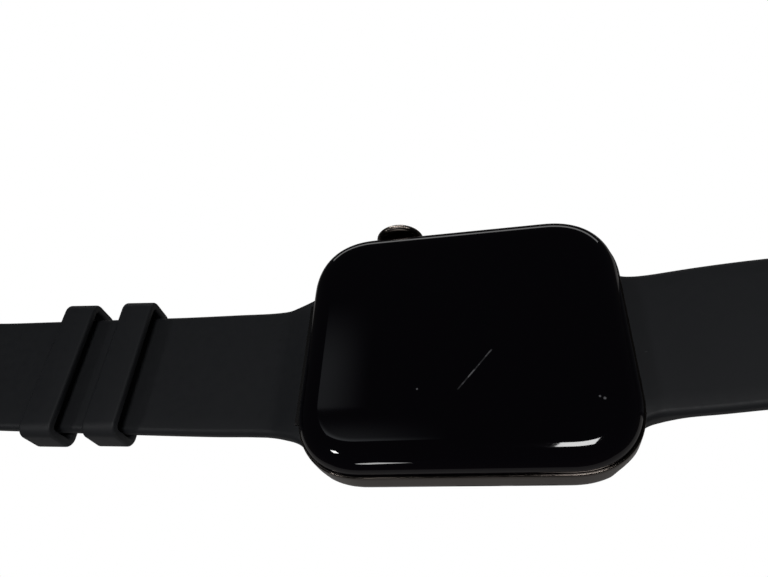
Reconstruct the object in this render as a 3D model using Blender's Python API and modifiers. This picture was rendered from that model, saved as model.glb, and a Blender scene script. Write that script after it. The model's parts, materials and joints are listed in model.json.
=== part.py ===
"""Smartwatch with a two-piece silicone strap, as separate solids in metres.

Frame: the origin is the centre of the flat on the sensor window, which the watch rests on.
+X runs to the six o'clock strap, +Y to the crown, +Z out of the display.
"""

import math

import bmesh
import bpy
from mathutils import Matrix, Vector

# ---- driving dimensions, in metres ----
CASE_LENGTH, CASE_WIDTH, CASE_CORNER = 0.0450, 0.0378, 0.0099
CASE_BASE = 0.0007  # underside of the case; the sensor window stands out below it
CASE_ROUND_IN, CASE_ROUND_UP = 0.0028, 0.0037  # reach of the rounded underside, inwards and upwards
CASE_WALL_TOP = 0.0066  # where the upright part of the wall ends
RIM_Z, GLASS_TOP = 0.0089, 0.0107
RECESS_INSET, GLASS_INSET = 0.00105, 0.0013
GLASS_LOW = 0.0084
GLASS_ROUND = 0.0024
LEDGE_Z = 0.00775
UPPER_INSET, UPPER_FLOOR = 0.0023, 0.0058
LOWER_HALF_X, LOWER_HALF_Y, LOWER_CORNER = 0.0124, 0.0144, 0.0015
BACK_HALF_X, BACK_HALF_Y, BACK_CORNER, BACK_CEILING = 0.0132, 0.0153, 0.0022, 0.0026
GAP = 0.0003
SNUG = 0.0001  # clearance between pieces that never move against each other
REACH = 0.0500  # how far a cutter runs past the piece it cuts

DISPLAY_LENGTH, DISPLAY_WIDTH, DISPLAY_CORNER, DISPLAY_Z = 0.0384, 0.0316, 0.0058, (0.0082, 0.0092)
DISPLAY_POCKET_GAP, DISPLAY_POCKET_TOP = 0.0004, 0.0095
BOARD_LENGTH, BOARD_WIDTH, BOARD_CORNER, BOARD_Y, BOARD_Z = 0.0350, 0.0240, 0.0040, -0.0024, (0.0070, 0.0074)
SCREW_PLACES = [(x, y) for x in (-0.0152, 0.0152) for y in (-0.0113, 0.0090)]
SCREW_HEAD, SCREW_SHANK, SCREW_BORE, SCREW_HOLE = 0.00075, 0.0004, 0.00065, 0.0010
SCREW_BOTTOM, SCREW_TOP = 0.0047, 0.0077
# what the case holds, as lowest corner, highest corner and material
INNER_BLOCKS = {
    "battery": ((-0.0120, -0.0138, 0.0033), (0.0010, 0.0098, 0.0057), "battery_wrap"),
    "speaker": ((0.0016, -0.0138, 0.0033), (0.0118, -0.0062, 0.0057), "nylon"),
    "haptic_motor": ((0.0016, -0.0056, 0.0033), (0.0118, 0.0122, 0.0057), "steel"),
    "processor_shield": ((0.0128, -0.0070, 0.0061), (0.0188, 0.0060, 0.0067), "steel"),
    "power_shield": ((-0.0188, -0.0085, 0.0061), (-0.0128, 0.0040, 0.0067), "steel"),
    "display_connector": ((-0.0030, -0.0110, 0.0076), (0.0030, -0.0085, 0.0079), "nylon"),
    "microphone": ((-0.0010, 0.0128, 0.0049), (0.0018, 0.0141, 0.0063), "steel"),
    "button_switch": ((0.0074, 0.0128, 0.0049), (0.0106, 0.0141, 0.0063), "steel"),
    "crown_switch": ((-0.0109, 0.0101, 0.0050), (-0.0081, 0.0110, 0.0066), "steel"),
}
BLOCK_EDGE = 0.0002
WINDOW_RADIUS, WINDOW_FLAT, WINDOW_TOP = 0.0110, 0.0045, 0.0015
BACK_THICK, BACK_SEAL_Z = 0.0010, (0.0020, 0.0023)
SENSOR_LAYER, SENSOR_BOARD_Z = (0.0018, 0.0023), (0.0026, 0.0030)
SENSOR_RING, SENSOR_HALF = 0.0050, 0.0010  # how far out the sensors sit, and half their size
COIL_OUTER, COIL_INNER, MAGNET_RADIUS = 0.0106, 0.0076, 0.0022

CROWN_X, CROWN_Z = -0.0095, 0.0062
CROWN_RADIUS, CROWN_FACE, CROWN_END = 0.0038, 0.01925, 0.0208
CROWN_EDGE, CROWN_DOME = 0.0004, 0.0003
SHAFT_RADIUS, BUSH_INNER, BUSH_OUTER, CROWN_BORE = 0.00065, 0.0008, 0.00105, 0.00125
SHAFT_Y, BUSH_Y, BORE_Y, SOCKET_Y = (0.0125, 0.0199), (0.0150, 0.0182), (0.0120, 0.0220), (0.0185, 0.0201)
SEAL_MAJOR, SEAL_MINOR, SEAL_Y = 0.00096, 0.00013, 0.0186
PUSH_PLATE_HALF, PUSH_PLATE_Y, PUSH_PLATE_Z = 0.0014, (0.0113, 0.0122), (0.0049, 0.0073)
BUTTON_X, BUTTON_Z = 0.0090, 0.0056
BUTTON_LENGTH, BUTTON_HEIGHT, BUTTON_Y = 0.0115, 0.0030, (0.0177, 0.01915)
POCKET_Y = 0.0173
STEM_RADIUS, STEM_BORE, STEM_Y, STEM_BORE_Y = 0.0006, 0.0009, 0.01445, 0.0130
MICROPHONE_X, MICROPHONE_RADIUS = 0.0004, 0.0004
SPEAKER_SLOTS, SPEAKER_SLOT_Z, SPEAKER_SLOT_SIZE = (0.0015, 0.0085), 0.0036, (0.0055, 0.0009)

SLOT_X, SLOT_Z = 0.0194, 0.0032
LUG_RADIUS, SLOT_RADIUS = 0.00155, 0.00185
NECK_HALF, MOUTH_HALF = 0.0007, 0.00125
MOUTH_REACH = 0.0050
LUG_HALF, NECK_REACH, NECK_HALF_WIDTH, NECK_ROOM = 0.0120, 0.0243, 0.0100, 0.00025
RELEASE_X, RELEASE_SIZE, RELEASE_CORNER, RELEASE_Z = 0.0154, (0.0024, 0.0060), 0.0010, (0.0008, 0.0032)
RELEASE_WELL_TOP = 0.0039

STRAP_THICK = 0.0022
LINK_ROUND = STRAP_THICK / 2
LINK_SOCKET = LINK_ROUND + GAP
STRAP_WIDE, STRAP_NARROW = 0.0213, 0.0193
FLARE_WIDTH, FLARE_START, FLARE_END, FLARE_POWER = 0.0246, 0.0150, 0.0310, 2.2
TAPER_END = 0.0800
ROOT_CLEARANCE = 0.00035
ROOT_12_HEIGHTS, ROOT_12_SLOPE = ((0.0200, 0.0013, 0.0047), (0.0249, 0.0006, 0.0045)), -20
ROOT_6_HEIGHTS, ROOT_6_SLOPE = ((0.0200, 0.0013, 0.0047), (0.0249, 0.0016, 0.0050)), 10
# each strap's hinge points as (distance from the case centre, height)
STRAP_12_POINTS = (
    (0.0282, 0.00135), (0.0375, 0.00175), (0.0465, 0.00235), (0.0735, 0.00518), (0.0875, 0.00665),
)
STRAP_6_POINTS = (
    (0.0275, 0.0040), (0.0430, 0.0061), (0.0610, 0.0055), (0.0800, 0.0021),
    (0.0994, 0.0012), (0.1189, 0.0012), (0.1420, 0.0012),
)
HOLE_PITCH, HOLE_SIZE = 0.0065, (0.0036, 0.0024)
FIRST_HOLE_LINK, HOLES_PER_LINK = 4, 3

KEEPER_X = (0.0649, 0.0543)  # the keeper nearer the buckle first
KEEPER_WIDTH, KEEPER_WALL = 0.0053, 0.0013
KEEPER_INNER = (0.0210, 0.0047)
KEEPER_CORNER, KEEPER_INNER_CORNER = 0.0019, 0.0007
KEEPER_LIFT = (0.0003, 0.00085)  # how far each loop's middle stands above the strap's

BAR_RADIUS, BAR_BORE, STRAP_END_RADIUS = 0.00075, 0.00095, 0.0020
TONGUE_SLOT_LENGTH, TONGUE_SLOT_HALF = 0.0050, 0.0018
FRAME_INNER, FRAME_ARM, FRAME_REACH, FRAME_THICK = 0.0198, 0.0022, 0.0140, 0.0022
FRAME_BACK, FRAME_CORNER, FRAME_INNER_CORNER, FRAME_EDGE = 0.0018, 0.0040, 0.0020, 0.0003
TONGUE_WIDTH, TONGUE_EYE, TONGUE_THICK, TONGUE_SIDE = 0.0024, 0.0016, 0.0010, 0.0002
BUCKLE_TILT = -23.4

CORNER_STEPS = 9
RING_STEPS = 48


def clear_scene():
    for old in list(bpy.data.objects):
        bpy.data.objects.remove(old, do_unlink=True)


def make_collection(name):
    collection = bpy.data.collections.new(name)
    bpy.context.scene.collection.children.link(collection)
    return collection


clear_scene()
PARTS = make_collection("smartwatch")
CUTTERS = make_collection("cutters")


def make_material(name, color, roughness, metallic):
    material = bpy.data.materials.new(name)
    material.use_nodes = True
    shader = material.node_tree.nodes["Principled BSDF"]
    shader.inputs["Base Color"].default_value = (*color, 1)
    shader.inputs["Roughness"].default_value = roughness
    shader.inputs["Metallic"].default_value = metallic
    material.diffuse_color = (*color, 1)
    return material


MATERIALS = {
    name: make_material(name, *look)
    for name, look in {
        "black_case": ((0.012, 0.010, 0.010), 0.12, 0.9),
        "black_glass": ((0.002, 0.001, 0.003), 0.04, 0.0),
        "display": ((0.003, 0.003, 0.004), 0.3, 0.0),
        "silicone": ((0.014, 0.015, 0.018), 0.62, 0.0),
        "back_ceramic": ((0.010, 0.010, 0.011), 0.15, 0.0),
        "seal_rubber": ((0.010, 0.010, 0.010), 0.8, 0.0),
        "steel": ((0.45, 0.45, 0.46), 0.3, 1.0),
        "black_steel": ((0.02, 0.02, 0.022), 0.25, 0.9),
        "copper": ((0.70, 0.30, 0.15), 0.35, 1.0),
        "circuit_board": ((0.01, 0.05, 0.03), 0.5, 0.0),
        "battery_wrap": ((0.04, 0.04, 0.045), 0.5, 0.0),
        "led_lens": ((0.05, 0.35, 0.12), 0.2, 0.0),
        "photodiode": ((0.03, 0.03, 0.05), 0.2, 0.0),
        "nylon": ((0.08, 0.08, 0.08), 0.6, 0.0),
    }.items()
}


# ---- modelling tools ----


def add_object(name, mesh, material=None):
    thing = bpy.data.objects.new(name, mesh)
    if material is None:
        CUTTERS.objects.link(thing)
        thing.hide_render = True
        thing.display_type = "WIRE"
    else:
        PARTS.objects.link(thing)
        mesh.materials.clear()
        mesh.materials.append(MATERIALS[material])
        mesh.shade_smooth()
        mesh.set_sharp_from_angle(angle=math.radians(35))
    return thing


def place(thing, location=(0, 0, 0), turn=0.0, slope=0.0):
    """Stands a piece at a point, turned about Z and then tilted up along its own X, in degrees."""
    thing.location = location
    thing.rotation_euler = (0, math.radians(-slope), math.radians(turn))
    return thing


def boolean(thing, operation, *others):
    for other in others:
        modifier = thing.modifiers.new(operation.lower(), "BOOLEAN")
        modifier.operation = operation
        modifier.solver = "EXACT"
        modifier.object = other
    return thing


def cut(thing, *cutters):
    return boolean(thing, "DIFFERENCE", *cutters)


def join(thing, *others):
    return boolean(thing, "UNION", *others)


def arc(centre, radius, start, end, steps):
    """Points along an arc, with its angles in degrees."""
    turns = [math.radians(start + (end - start) * i / steps) for i in range(steps + 1)]
    return [(centre[0] + radius * math.cos(a), centre[1] + radius * math.sin(a)) for a in turns]


def rounded_rectangle(length, width, radius, steps=CORNER_STEPS, centre=(0, 0)):
    points = []
    for sign_x, sign_y, start in ((1, 1, 0), (-1, 1, 90), (-1, -1, 180), (1, -1, 270)):
        corner = (
            centre[0] + sign_x * (length / 2 - radius),
            centre[1] + sign_y * (width / 2 - radius),
        )
        points += arc(corner, radius, start, start + 90, steps)
    return points


def outline_mesh(loops, half_height, bevel=0.0, bevel_steps=0):
    """The closed mesh of a flat outline: a 2D curve extruded each way, its edge rounded by bevel."""
    curve = bpy.data.curves.new("outline", "CURVE")
    curve.dimensions = "2D"
    curve.fill_mode = "BOTH"
    curve.extrude = half_height
    curve.bevel_depth = bevel
    curve.bevel_resolution = bevel_steps
    for loop in loops:
        spline = curve.splines.new("POLY")
        spline.points.add(len(loop) - 1)
        for point, (x, y) in zip(spline.points, loop):
            point.co = (x, y, 0, 1)
        spline.use_cyclic_u = True
    guide = bpy.data.objects.new("outline", curve)
    bpy.context.scene.collection.objects.link(guide)
    graph = bpy.context.evaluated_depsgraph_get()
    mesh = bpy.data.meshes.new_from_object(guide.evaluated_get(graph))
    bpy.data.objects.remove(guide)
    bpy.data.curves.remove(curve)
    shape = bmesh.new()
    shape.from_mesh(mesh)
    bmesh.ops.remove_doubles(shape, verts=shape.verts, dist=1e-6)
    bmesh.ops.recalc_face_normals(shape, faces=shape.faces)
    shape.to_mesh(mesh)
    shape.free()
    return mesh


def plate(name, loops, low, high, material=None):
    """A flat piece with these outlines, from height low to height high."""
    mesh = outline_mesh(loops, (high - low) / 2)
    mesh.transform(Matrix.Translation((0, 0, (low + high) / 2)))
    return add_object(name, mesh, material)


def extrusion_along_y(name, outline, half_width, material=None):
    """A side outline given as (x, z), extruded to both sides of the plane Y = 0."""
    mesh = outline_mesh([outline], half_width)
    mesh.transform(Matrix.Rotation(math.radians(90), 4, "X"))
    return add_object(name, mesh, material)


def box(name, low, high, material=None):
    shape = bmesh.new()
    bmesh.ops.create_cube(shape, size=1)
    size, middle = Vector(high) - Vector(low), (Vector(high) + Vector(low)) / 2
    bmesh.ops.transform(shape, matrix=Matrix.LocRotScale(middle, None, size), verts=shape.verts)
    mesh = bpy.data.meshes.new(name)
    shape.to_mesh(mesh)
    shape.free()
    return add_object(name, mesh, material)


def rod(name, start, end, radius, material=None, sides=20):
    """A cylinder between two points."""
    along = Vector(end) - Vector(start)
    turn = Vector((0, 0, 1)).rotation_difference(along)
    shape = bmesh.new()
    bmesh.ops.create_cone(
        shape, cap_ends=True, segments=sides, radius1=radius, radius2=radius, depth=along.length,
    )
    middle = (Vector(start) + Vector(end)) / 2
    bmesh.ops.transform(shape, matrix=Matrix.LocRotScale(middle, turn, None), verts=shape.verts)
    mesh = bpy.data.meshes.new(name)
    shape.to_mesh(mesh)
    shape.free()
    return add_object(name, mesh, material)


def turned(name, profile, material, steps=32):
    """A shape turned about Z from its profile of (radius, height), listed down its outer side."""
    mesh = bpy.data.meshes.new(name)
    points = [(r, 0, z) for r, z in profile]
    mesh.from_pydata(points, [(i, i + 1) for i in range(len(points) - 1)], [])
    thing = add_object(name, mesh, material)
    screw = thing.modifiers.new("turn", "SCREW")
    screw.steps = steps
    screw.render_steps = steps
    screw.use_merge_vertices = True
    screw.merge_threshold = 1e-6
    return thing


def circle(radius):
    return arc((0, 0), radius, 0, 360 - 360 / RING_STEPS, RING_STEPS - 1)


def ring(name, outer, inner, low, high, material):
    return plate(name, [circle(outer), circle(inner)], low, high, material)


def inset_case(inset):
    """The case's outline in plan, moved inwards."""
    return rounded_rectangle(CASE_LENGTH - 2 * inset, CASE_WIDTH - 2 * inset, CASE_CORNER - inset)


def pill_in_wall(name, middle_x, middle_z, length, height, y_low, y_high, material=None):
    """A round-ended slot or key that runs along Y through the side wall."""
    outline = rounded_rectangle(length, height, height / 2 - 1e-5, 6, (middle_x, middle_z))
    thing = extrusion_along_y(name, outline, (y_high - y_low) / 2, material)
    thing.data.transform(Matrix.Translation((0, (y_low + y_high) / 2, 0)))
    return thing


# ---- case ----


def rounded_slab(name, inset, bevel, rise, straight_low, straight_high, material=None):
    """A plate with the case's outline whose edge is a quarter ellipse, bevel inwards by rise upwards."""
    loop = inset_case(inset + bevel)
    squash = rise / bevel
    mesh = outline_mesh([loop], (straight_high - straight_low) / 2 / squash, bevel, 4)
    mesh.transform(Matrix.Diagonal((1, 1, squash, 1)))
    mesh.transform(Matrix.Translation((0, 0, (straight_low + straight_high) / 2)))
    return add_object(name, mesh, material)


def slot_cutters():
    """The two slots that the strap lugs slide through, each a round channel with a narrower mouth."""
    made = []
    opening = math.degrees(math.asin(MOUTH_HALF / SLOT_RADIUS))
    for side in (-1, 1):
        outline = arc((0, 0), SLOT_RADIUS, opening, 360 - opening, 20)
        outline += [(MOUTH_REACH, -MOUTH_HALF), (MOUTH_REACH, MOUTH_HALF)]
        outline = [(side * (SLOT_X + x), SLOT_Z + z) for x, z in outline]
        made.append(extrusion_along_y("slot_cutter", outline, CASE_WIDTH))
    return made


def case_body():
    case = rounded_slab(
        "case_body", 0, CASE_ROUND_IN, CASE_ROUND_UP, CASE_BASE + CASE_ROUND_UP, CASE_WALL_TOP, "black_case",
    )
    lower = rounded_rectangle(2 * LOWER_HALF_X, 2 * LOWER_HALF_Y, LOWER_CORNER, 5)
    back = rounded_rectangle(2 * BACK_HALF_X, 2 * BACK_HALF_Y, BACK_CORNER, 5)
    cut(
        case,
        box("rim_cutter", (-REACH, -REACH, RIM_Z), (REACH, REACH, REACH)),
        plate("glass_recess_cutter", [inset_case(RECESS_INSET)], LEDGE_Z, REACH),
        plate("upper_cavity_cutter", [inset_case(UPPER_INSET)], UPPER_FLOOR, REACH),
        plate("lower_cavity_cutter", [lower], -REACH, BOARD_Z[0]),
        plate("back_recess_cutter", [back], -REACH, BACK_CEILING),
        *slot_cutters(),
        rod("crown_bore_cutter", (CROWN_X, BORE_Y[0], CROWN_Z), (CROWN_X, BORE_Y[1], CROWN_Z), CROWN_BORE),
        pill_in_wall(
            "button_pocket_cutter", BUTTON_X, BUTTON_Z, BUTTON_LENGTH + 2 * GAP, BUTTON_HEIGHT + 2 * GAP,
            POCKET_Y, REACH,
        ),
        rod(
            "button_stem_cutter", (BUTTON_X, STEM_BORE_Y, BUTTON_Z), (BUTTON_X, BUTTON_Y[0], BUTTON_Z),
            STEM_BORE,
        ),
        rod(
            "microphone_cutter", (MICROPHONE_X, STEM_BORE_Y, BUTTON_Z), (MICROPHONE_X, REACH, BUTTON_Z),
            MICROPHONE_RADIUS, sides=12,
        ),
        *(
            pill_in_wall("speaker_slot_cutter", x, SPEAKER_SLOT_Z, *SPEAKER_SLOT_SIZE, -REACH, -STEM_BORE_Y)
            for x in SPEAKER_SLOTS
        ),
    )
    for side in (-1, 1):
        size = (RELEASE_SIZE[0] + 2 * GAP, RELEASE_SIZE[1] + 2 * GAP)
        well = rounded_rectangle(*size, RELEASE_CORNER + SNUG, 5, (side * RELEASE_X, 0))
        cut(case, plate("release_well_cutter", [well], -REACH, RELEASE_WELL_TOP))
    for x, y in SCREW_PLACES:
        bore = rod("screw_bore_cutter", (x, y, SCREW_BOTTOM - GAP), (x, y, BOARD_Z[0]), SCREW_BORE, sides=16)
        cut(case, bore)


def cover_glass():
    glass = rounded_slab(
        "cover_glass", GLASS_INSET, GLASS_ROUND, GLASS_TOP - RIM_Z, GLASS_LOW - GAP, RIM_Z, "black_glass",
    )
    pocket_gap = 2 * DISPLAY_POCKET_GAP
    pocket = rounded_rectangle(
        DISPLAY_LENGTH + pocket_gap, DISPLAY_WIDTH + pocket_gap, DISPLAY_CORNER + DISPLAY_POCKET_GAP, 6,
    )
    cut(
        glass,
        box("glass_base_cutter", (-REACH, -REACH, -REACH), (REACH, REACH, GLASS_LOW)),
        plate("display_pocket_cutter", [pocket], LEDGE_Z, DISPLAY_POCKET_TOP),
    )
    panel = rounded_rectangle(DISPLAY_LENGTH, DISPLAY_WIDTH, DISPLAY_CORNER, 6)
    plate("display_panel", [panel], *DISPLAY_Z, "display")
    gasket = [inset_case(RECESS_INSET + GAP), inset_case(UPPER_INSET - SNUG)]
    plate("display_gasket", gasket, LEDGE_Z + 2 * SNUG, GLASS_LOW - 2 * SNUG, "seal_rubber")


def back_and_sensors():
    outline = rounded_rectangle(2 * (BACK_HALF_X - GAP), 2 * (BACK_HALF_Y - GAP), BACK_CORNER - GAP, 5)
    hole = circle(WINDOW_RADIUS + GAP)
    plate("back_cover", [outline, hole], CASE_BASE, CASE_BASE + BACK_THICK, "back_ceramic")
    seal = [
        rounded_rectangle(2 * (BACK_HALF_X - 2 * SNUG), 2 * (BACK_HALF_Y - 2 * SNUG), BACK_CORNER, 5),
        rounded_rectangle(2 * (LOWER_HALF_X + SNUG), 2 * (LOWER_HALF_Y + SNUG), LOWER_CORNER + SNUG, 5),
    ]
    plate("back_gasket", seal, *BACK_SEAL_Z, "seal_rubber")
    dome_steps = 5
    spread = WINDOW_RADIUS - WINDOW_FLAT
    dome = [
        (WINDOW_FLAT + spread * i / dome_steps, CASE_BASE * (i / dome_steps) ** 2)
        for i in range(dome_steps, -1, -1)
    ]
    turned(
        "sensor_window",
        [(0, WINDOW_TOP), (WINDOW_RADIUS, WINDOW_TOP), *dome, (0, 0)],
        "back_ceramic",
    )
    low, high = SENSOR_BOARD_Z
    rod("sensor_board", (0, 0, low), (0, 0, high), WINDOW_RADIUS, "circuit_board", 32)
    low, high = SENSOR_LAYER
    ring("charging_coil", COIL_OUTER, COIL_INNER, low, high, "copper")
    rod("alignment_magnet", (0, 0, low), (0, 0, high), MAGNET_RADIUS, "steel", 24)
    sensors = {
        "sensor_led_1": (1, 0), "sensor_led_2": (-1, 0), "photodiode_1": (0, 1), "photodiode_2": (0, -1),
    }
    for name, (x, y) in sensors.items():
        middle = Vector((x, y, 0)) * SENSOR_RING
        box(
            name,
            middle + Vector((-SENSOR_HALF, -SENSOR_HALF, low)),
            middle + Vector((SENSOR_HALF, SENSOR_HALF, high)),
            "led_lens" if "led" in name else "photodiode",
        )


def inside():
    """What the case holds: battery, board, motor, speaker, microphone and switches."""
    for name, (low, high, material) in INNER_BLOCKS.items():
        block = box(name, low, high, material)
        bevel = block.modifiers.new("edges", "BEVEL")
        bevel.width = BLOCK_EDGE
        bevel.segments = 1
    low, high = BOARD_Z
    outline = rounded_rectangle(BOARD_LENGTH, BOARD_WIDTH, BOARD_CORNER, 5, (0, BOARD_Y))
    board = plate("main_board", [outline], low, high, "circuit_board")
    for number, (x, y) in enumerate(SCREW_PLACES, 1):
        cut(board, rod("board_hole_cutter", (x, y, low - REACH), (x, y, high + REACH), SCREW_HOLE, sides=16))
        screw = rod(f"board_screw_{number}", (x, y, low), (x, y, SCREW_TOP), SCREW_HEAD, "steel", 16)
        join(screw, rod("screw_shank", (x, y, SCREW_BOTTOM), (x, y, low + SNUG), SCREW_SHANK, sides=12))


# ---- crown and side button ----


def crown():
    """The cap and shaft spin about the bore's axis, and press the plate that works the switch."""
    axis = Matrix.Translation((CROWN_X, 0, CROWN_Z)) @ Matrix.Rotation(math.radians(-90), 4, "X")
    rim = arc((CROWN_RADIUS - CROWN_EDGE, CROWN_END - CROWN_DOME - CROWN_EDGE), CROWN_EDGE, 90, 0, 4)
    cap = turned(
        "crown_cap",
        [
            (0, CROWN_END), (CROWN_RADIUS / 2, CROWN_END - CROWN_DOME / 4), *rim,
            (CROWN_RADIUS, CROWN_FACE + CROWN_EDGE), (CROWN_RADIUS - CROWN_EDGE, CROWN_FACE), (0, CROWN_FACE),
        ],
        "black_case",
    )
    cap.matrix_world = axis
    near, far = SOCKET_Y
    cut(cap, rod("crown_socket_cutter", (CROWN_X, near, CROWN_Z), (CROWN_X, far, CROWN_Z), BUSH_INNER))
    near, far = SHAFT_Y
    shaft = rod("crown_shaft", (0, 0, near), (0, 0, far), SHAFT_RADIUS, "steel", 16)
    shaft.matrix_world = axis
    bush = ring("crown_bush", BUSH_OUTER, BUSH_INNER, *BUSH_Y, "steel")
    bush.matrix_world = axis
    bpy.ops.mesh.primitive_torus_add(
        major_radius=SEAL_MAJOR, minor_radius=SEAL_MINOR, major_segments=24, minor_segments=8,
        location=(CROWN_X, SEAL_Y, CROWN_Z), rotation=(math.radians(90), 0, 0),
    )
    seal = bpy.context.object
    seal.name = "crown_seal"
    seal.data.materials.append(MATERIALS["seal_rubber"])
    for holder in list(seal.users_collection):
        holder.objects.unlink(seal)
    PARTS.objects.link(seal)
    box(
        "crown_push_plate",
        (CROWN_X - PUSH_PLATE_HALF, PUSH_PLATE_Y[0], PUSH_PLATE_Z[0]),
        (CROWN_X + PUSH_PLATE_HALF, PUSH_PLATE_Y[1], PUSH_PLATE_Z[1]),
        "steel",
    )


def side_button():
    button = pill_in_wall(
        "side_button", BUTTON_X, BUTTON_Z, BUTTON_LENGTH, BUTTON_HEIGHT, *BUTTON_Y, "black_case",
    )
    overlap = BUTTON_Y[0] + GAP
    start, end = (BUTTON_X, STEM_Y, BUTTON_Z), (BUTTON_X, overlap, BUTTON_Z)
    stem = rod("button_stem", start, end, STEM_RADIUS, sides=16)
    join(button, stem)


# ---- strap ----


def direction(start, end):
    """Length and slope, in degrees, of the line from one hinge point to the next."""
    run, rise = end[0] - start[0], end[1] - start[1]
    return math.hypot(run, rise), math.degrees(math.atan2(rise, run))


SOCKET_ANGLE = math.degrees(math.asin(LINK_ROUND / LINK_SOCKET))


def strap_width(distance):
    """The strap's full width at a distance from the case centre."""
    share = min(max((distance - FLARE_END) / (TAPER_END - FLARE_END), 0), 1)
    return STRAP_WIDE + (STRAP_NARROW - STRAP_WIDE) * share


def tapered(thing, start, length):
    """Narrows a strap link from its width at its first hinge to its width at its end."""
    widest = strap_width(start)
    for vertex in thing.data.vertices:
        share = min(max(vertex.co.x / length, 0), 1)
        vertex.co.y *= (widest + (strap_width(start + length) - widest) * share) / widest
    return thing


def strap_link(name, start, end, turn):
    """One stretch of strap: a round nose on its own hinge, and a hollow end for the next link's nose."""
    length, slope = direction(start, end)
    outline = arc((0, 0), LINK_ROUND, 90, 270, 8)
    outline += arc((length, 0), LINK_SOCKET, 180 + SOCKET_ANGLE, 180 - SOCKET_ANGLE, 8)
    link = extrusion_along_y(name, outline, strap_width(start[0]) / 2, "silicone")
    tapered(link, start[0], length)
    x = -start[0] if turn else start[0]
    return place(link, (x, 0, start[1]), turn, slope)


def strap_holes(link, length):
    """Buckle holes through a link, spaced evenly about its middle."""
    for number in range(HOLES_PER_LINK):
        x = length / 2 + (number - (HOLES_PER_LINK - 1) / 2) * HOLE_PITCH
        outline = rounded_rectangle(*HOLE_SIZE, HOLE_SIZE[1] / 2 - 1e-5, 5, (x, 0))
        cutter = plate("strap_hole_cutter", [outline], -STRAP_THICK, STRAP_THICK)
        cutter.matrix_world = link.matrix_basis.copy()
        cut(link, cutter)


def strap_tail(name, start, end):
    """The free end of the long strap, with a round tip."""
    length, slope = direction(start, end)
    half = strap_width(start[0]) / 2
    outline = arc((0, 0), LINK_ROUND, 90, 270, 8) + [(length, -LINK_ROUND), (length, LINK_ROUND)]
    tail = extrusion_along_y(name, outline, half, "silicone")
    place(tail, (start[0], 0, start[1]), 0, slope)
    tip = [(-STRAP_THICK, -half), *arc((length - half, 0), half, -90, 90, 16), (-STRAP_THICK, half)]
    keep = plate("tail_plan_cutter", [tip], -STRAP_THICK, STRAP_THICK)
    keep.matrix_world = tail.matrix_basis.copy()
    boolean(tail, "INTERSECT", keep)
    return tail


def flare_plan():
    """The strap root's outline in plan: wide at the case, curving in to the strap's width."""
    steps = 10
    side = []
    for i in range(steps + 1):
        x = FLARE_START + (FLARE_END - FLARE_START) * i / steps
        share = min((FLARE_END - x) / (FLARE_END - CASE_LENGTH / 2), 1)
        side.append((x, (STRAP_WIDE + (FLARE_WIDTH - STRAP_WIDE) * share**FLARE_POWER) / 2))
    return side + [(x, -y) for x, y in reversed(side)]


def strap_root(name, hinge, heights, end_slope, turn):
    """The moulded root that holds the lug, with heights as (distance, low, high) from the case outwards."""
    socket = 180 + end_slope
    outline = [(x, high) for x, low, high in heights]
    outline += arc(hinge, LINK_SOCKET, socket - SOCKET_ANGLE, socket + SOCKET_ANGLE, 8)
    outline += [(x, low) for x, low, high in reversed(heights)]
    root = extrusion_along_y(name, outline[::-1], FLARE_WIDTH / 2, "silicone")
    plan = plate(name + "_plan_cutter", [flare_plan()], -REACH, REACH)
    case_room = plate(name + "_case_cutter", [inset_case(-ROOT_CLEARANCE)], -REACH, REACH)
    # the tips beside the case's corners slide past its straight end, so they stay within the mouth's height
    end, tip_half = CASE_LENGTH / 2 + GAP, MOUTH_HALF - SNUG
    over = box(name + "_over_cutter", (0, -FLARE_WIDTH, SLOT_Z + tip_half), (end, FLARE_WIDTH, REACH))
    under = box(name + "_under_cutter", (0, -FLARE_WIDTH, -REACH), (end, FLARE_WIDTH, SLOT_Z - tip_half))
    pocket = box(
        name + "_neck_cutter",
        (SLOT_X, -NECK_HALF_WIDTH - NECK_ROOM, SLOT_Z - NECK_HALF - NECK_ROOM),
        (NECK_REACH + NECK_ROOM, NECK_HALF_WIDTH + NECK_ROOM, SLOT_Z + NECK_HALF + NECK_ROOM),
    )
    for thing in (root, plan, case_room, over, under, pocket):
        place(thing, turn=turn)
    boolean(root, "INTERSECT", plan)
    cut(root, case_room, over, under, pocket)
    return root


def strap_lug(name, turn):
    """The stiff insert that slides in the case's slot: a round rail with a flat neck into the strap."""
    lug = rod(name, (SLOT_X, -LUG_HALF, SLOT_Z), (SLOT_X, LUG_HALF, SLOT_Z), LUG_RADIUS, "black_steel", 24)
    neck = box(
        name + "_neck",
        (SLOT_X, -NECK_HALF_WIDTH, SLOT_Z - NECK_HALF),
        (NECK_REACH, NECK_HALF_WIDTH, SLOT_Z + NECK_HALF),
    )
    place(lug, turn=turn)
    place(neck, turn=turn)
    return join(lug, neck)


def release_button(name, side):
    outline = rounded_rectangle(*RELEASE_SIZE, RELEASE_CORNER, 5, (side * RELEASE_X, 0))
    plate(name, [outline], *RELEASE_Z, "black_steel")


def keeper(name, distance, lift):
    """A loop around the strap, its origin at its middle and its X along the strap."""
    start, end = STRAP_12_POINTS[2:4]
    slope = direction(start, end)[1]
    share = (distance - start[0]) / (end[0] - start[0])
    height = start[1] + (end[1] - start[1]) * share + lift
    width, tall = KEEPER_INNER
    wall = 2 * KEEPER_WALL
    loops = [
        rounded_rectangle(width + wall, tall + wall, KEEPER_CORNER, 5),
        rounded_rectangle(width, tall, KEEPER_INNER_CORNER, 3),
    ]
    mesh = outline_mesh(loops, KEEPER_WIDTH / 2)
    mesh.transform(Matrix.Rotation(math.radians(90), 4, "Z") @ Matrix.Rotation(math.radians(90), 4, "X"))
    return place(add_object(name, mesh, "silicone"), (-distance, 0, height), 180, slope)


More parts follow.
